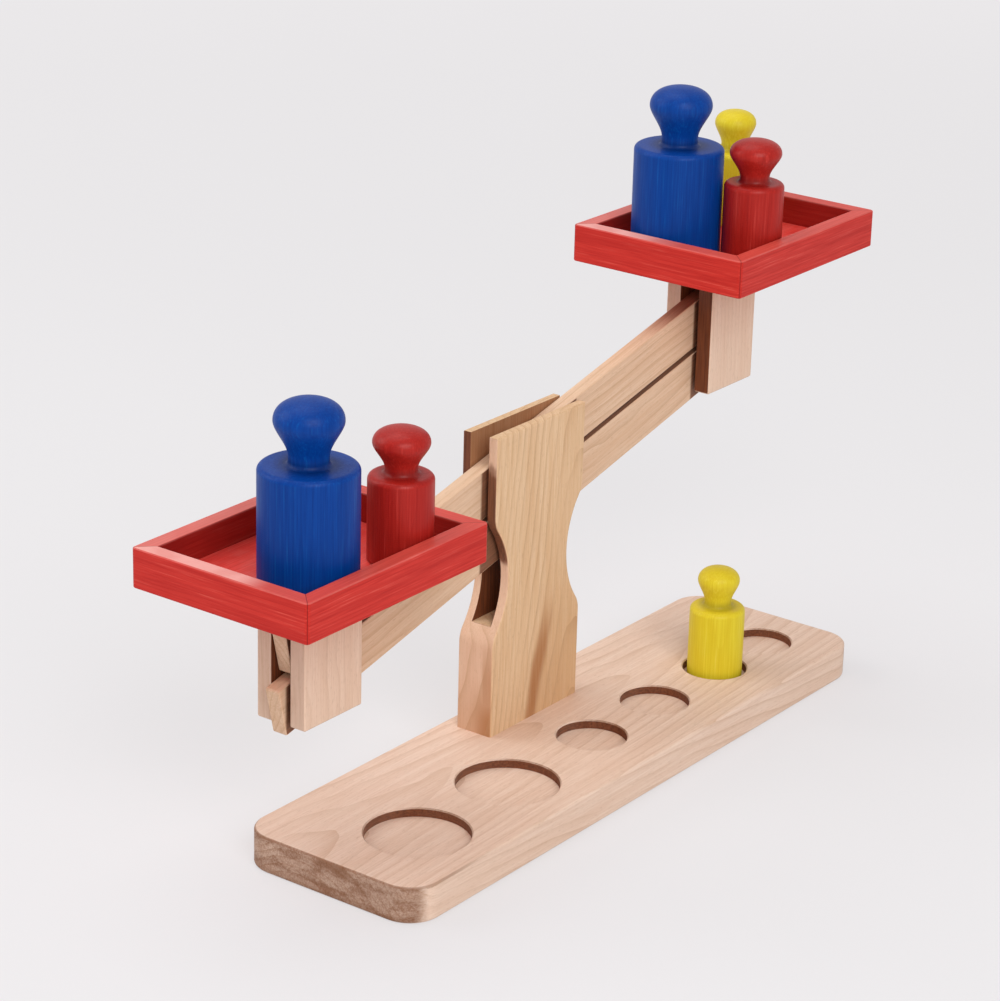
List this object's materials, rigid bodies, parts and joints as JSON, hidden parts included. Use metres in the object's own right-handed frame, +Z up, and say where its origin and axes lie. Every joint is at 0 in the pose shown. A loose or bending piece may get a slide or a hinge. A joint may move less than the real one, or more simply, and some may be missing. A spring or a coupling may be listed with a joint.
{
  "type": "toy balance scale",
  "caption": "Wooden toy balance: parallel beams in a forked post keep framed red pans level, and turned weights stand on the pans or in recesses in the board.",
  "frame": {"origin": "centre of the board's underside, on the surface that the toy stands on", "axes": "+X along the board from the large recesses to the small ones, +Y from the recess row to the post, +Z up"},
  "size_m": [0.449, 0.129, 0.3073],
  "materials": {
    "beech": "sanded, clear matt",
    "dowel": "sanded end grain",
    "spacer": "matt nylon",
    "screw_steel": "zinc plated",
    "red_paint": "satin red stain over wood",
    "blue_paint": "satin blue paint over wood",
    "yellow_paint": "satin yellow paint over wood"
  },
  "bodies": {
    "stand": {"base_board": "beech", "post": "beech", "post_screws": "screw_steel", "center_upper_pin": "dowel", "center_lower_pin": "dowel", "center_spacers": "spacer"},
    "upper_beam": {"upper_beam": "beech"},
    "lower_beam": {"lower_beam": "beech"},
    "left_pan": {"left_hanger": "beech", "left_upper_pin": "dowel", "left_lower_pin": "dowel", "left_spacers": "spacer", "left_pan_floor": "red_paint", "left_pan_front_strip": "red_paint", "left_pan_back_strip": "red_paint", "left_pan_outer_strip": "red_paint", "left_pan_inner_strip": "red_paint"},
    "right_pan": {"right_hanger": "beech", "right_upper_pin": "dowel", "right_lower_pin": "dowel", "right_spacers": "spacer", "right_pan_floor": "red_paint", "right_pan_front_strip": "red_paint", "right_pan_back_strip": "red_paint", "right_pan_outer_strip": "red_paint", "right_pan_inner_strip": "red_paint"},
    "left_blue_weight": {"left_blue_weight": "blue_paint"},
    "left_red_weight": {"left_red_weight": "red_paint"},
    "right_blue_weight": {"right_blue_weight": "blue_paint"},
    "right_red_weight": {"right_red_weight": "red_paint"},
    "right_yellow_weight": {"right_yellow_weight": "yellow_paint"},
    "base_yellow_weight": {"base_yellow_weight": "yellow_paint"}
  },
  "joints": [
    {"name": "upper_beam_tilt", "type": "hinge", "parent": "stand", "child": "upper_beam", "pos_m": [0, 0.033, 0.15], "axis": [0, 1, 0], "range_deg": [-1.5, 28.5]},
    {"name": "lower_beam_tilt", "type": "hinge", "parent": "stand", "child": "lower_beam", "pos_m": [0, 0.033, 0.1225], "axis": [0, 1, 0], "range_deg": [-1.5, 28.5]},
    {"name": "left_pan_level", "type": "hinge", "parent": "upper_beam", "child": "left_pan", "pos_m": [-0.1585, 0.032, 0.11195], "axis": [0, 1, 0], "range_deg": [-28.5, 1.5]},
    {"name": "right_pan_level", "type": "hinge", "parent": "upper_beam", "child": "right_pan", "pos_m": [0.1585, 0.032, 0.18805], "axis": [0, 1, 0], "range_deg": [-28.5, 1.5]},
    {"name": "left_blue_weight_lift", "type": "slide", "parent": "left_pan", "child": "left_blue_weight", "axis": [0, 0, 1], "range_m": [0, 0.06]},
    {"name": "left_red_weight_lift", "type": "slide", "parent": "left_pan", "child": "left_red_weight", "axis": [0, 0, 1], "range_m": [0, 0.06]},
    {"name": "right_blue_weight_lift", "type": "slide", "parent": "right_pan", "child": "right_blue_weight", "axis": [0, 0, 1], "range_m": [0, 0.06]},
    {"name": "right_red_weight_lift", "type": "slide", "parent": "right_pan", "child": "right_red_weight", "axis": [0, 0, 1], "range_m": [0, 0.06]},
    {"name": "right_yellow_weight_lift", "type": "slide", "parent": "right_pan", "child": "right_yellow_weight", "axis": [0, 0, 1], "range_m": [0, 0.06]},
    {"name": "base_yellow_weight_lift", "type": "slide", "parent": "stand", "child": "base_yellow_weight", "axis": [0, 0, 1], "range_m": [0, 0.06]}
  ],
  "couplings": [
    {"joint": "lower_beam_tilt", "follows": "upper_beam_tilt", "ratio": 1},
    {"joint": "left_pan_level", "follows": "upper_beam_tilt", "ratio": -1},
    {"joint": "right_pan_level", "follows": "upper_beam_tilt", "ratio": -1}
  ]
}
